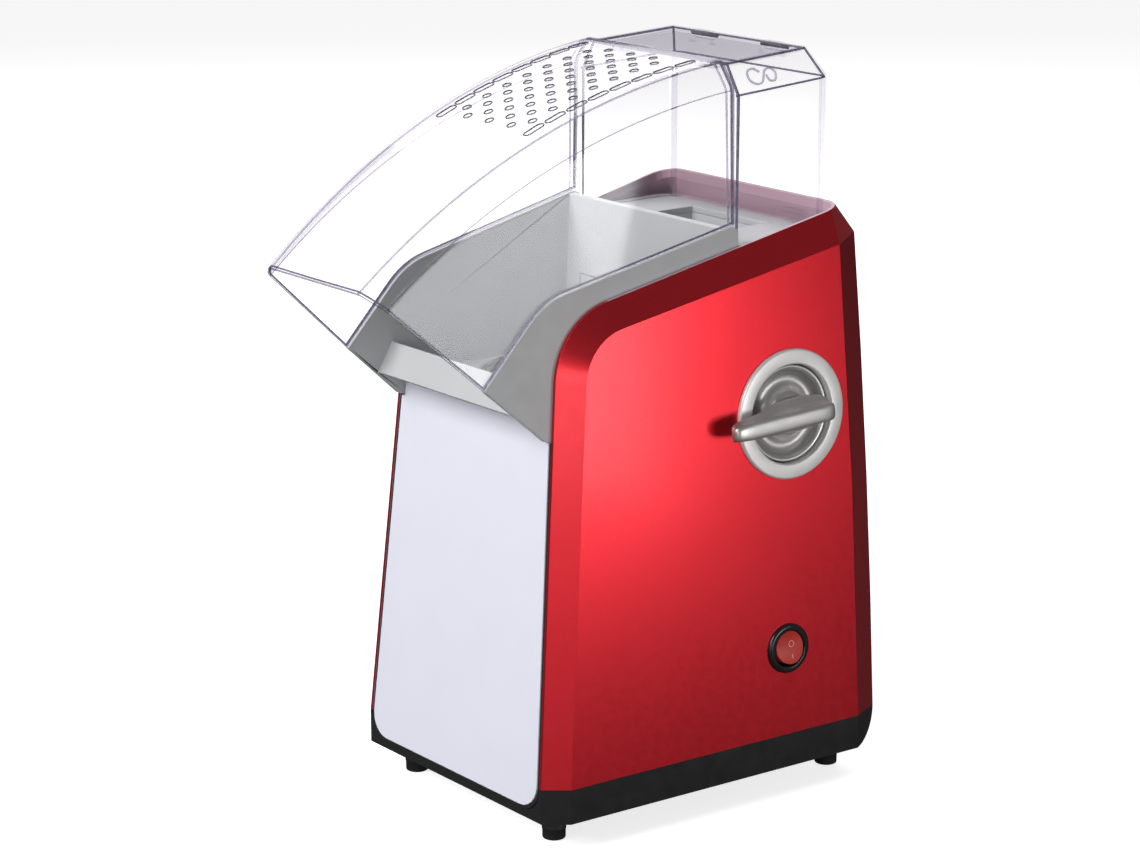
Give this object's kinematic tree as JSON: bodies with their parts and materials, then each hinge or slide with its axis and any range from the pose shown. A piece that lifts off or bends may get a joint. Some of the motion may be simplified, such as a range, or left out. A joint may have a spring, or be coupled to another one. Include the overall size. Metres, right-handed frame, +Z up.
{
  "type": "popcorn maker",
  "caption": "Hot-air popcorn maker: flared red housing on a black base, grey chute under a clear vented cover, clear kernel hopper with a dosing lever.",
  "frame": {"origin": "middle of the overall box, on the surface that the feet stand on", "axes": "+Z up, +X to the lever side, -Y to the chute side"},
  "size_m": [0.1691, 0.2574, 0.3362],
  "materials": {
    "housing_red": "glossy metallic",
    "base_black": "satin",
    "foot_rubber": "matte",
    "frame_black": "satin",
    "panel_white": "satin",
    "chute_grey": "satin",
    "deck_grey": "satin",
    "clear": "clear",
    "lever_silver": "satin metallic",
    "ring_pale": "satin",
    "drum_plastic": "satin",
    "bezel_black": "glossy",
    "rocker_red": "glossy",
    "steel": "plain",
    "aluminium": "spun",
    "brass": "plain",
    "seal": "matte",
    "mica": "matte",
    "fan_black": "matte",
    "motor_iron": "dull",
    "board_green": "matte",
    "lead_white": "matte"
  },
  "bodies": {
    "root": {"housing_shell": "housing_red", "base_tray": "base_black", "motor_pillars": "base_black", "fan_housing": "base_black", "foot_front_left": "foot_rubber", "foot_front_right": "foot_rubber", "foot_rear_left": "foot_rubber", "foot_rear_right": "foot_rubber", "front_frame": "frame_black", "front_panel": "panel_white", "chute": "chute_grey", "chute_insert": "chute_grey", "deck": "deck_grey", "hopper_funnel": "deck_grey", "drum_housing": "deck_grey", "lever_ring": "ring_pale", "switch_bezel": "bezel_black", "switch_body": "bezel_black", "ring_nut": "bezel_black", "cord_gland": "bezel_black", "rocker_pin": "steel", "motor_can": "steel", "motor_plate": "steel", "base_screws": "steel", "heater_tube": "steel", "heater_coil": "steel", "drop_duct": "steel", "popping_chamber": "aluminium", "switch_terminals": "brass", "motor_bushes": "brass", "chamber_seal": "seal", "heater_frame": "mica", "thermal_fuse": "mica", "thermostat": "mica", "motor_magnets": "motor_iron", "rectifier_board": "board_green", "inner_leads": "lead_white"},
    "lever": {"dosing_drum": "drum_plastic", "lever_shaft": "steel", "lever_dial": "lever_silver", "lever_bar": "lever_silver"},
    "rocker": {"switch_rocker": "rocker_red"},
    "rotor": {"fan": "fan_black", "motor_shaft": "steel", "motor_rotor": "motor_iron"},
    "cover": {"front_cover": "clear"},
    "hopper": {"hopper_cover": "clear", "lid_pins": "steel", "hopper_clip": "clear"},
    "lid": {"hopper_lid": "clear"}
  },
  "joints": [
    {"name": "lever_turn", "type": "hinge", "parent": "root", "child": "lever", "pos_m": [0.07199, 0.0759, 0.178], "axis": [0.9966, -0.0598, 0.0558], "range_deg": [-180, 0]},
    {"name": "rocker_tilt", "type": "hinge", "parent": "root", "child": "rocker", "pos_m": [0.0748, 0.07228, 0.07023], "axis": [0.0599, 0.9982, 0], "range_deg": [0, 16]},
    {"name": "fan_spin", "type": "hinge", "parent": "root", "child": "rotor", "pos_m": [0, 0.008, 0.05], "axis": [0, 0, 1], "continuous": true},
    {"name": "cover_lift", "type": "slide", "parent": "root", "child": "cover", "axis": [0, 0, 1], "range_m": [0, 0.12]},
    {"name": "hopper_lift", "type": "slide", "parent": "root", "child": "hopper", "axis": [0, 0, 1], "range_m": [0, 0.12]},
    {"name": "lid_hinge", "type": "hinge", "parent": "hopper", "child": "lid", "pos_m": [0, 0.1065, 0.3343], "axis": [-1, 0, 0], "range_deg": [0, 100]}
  ]
}
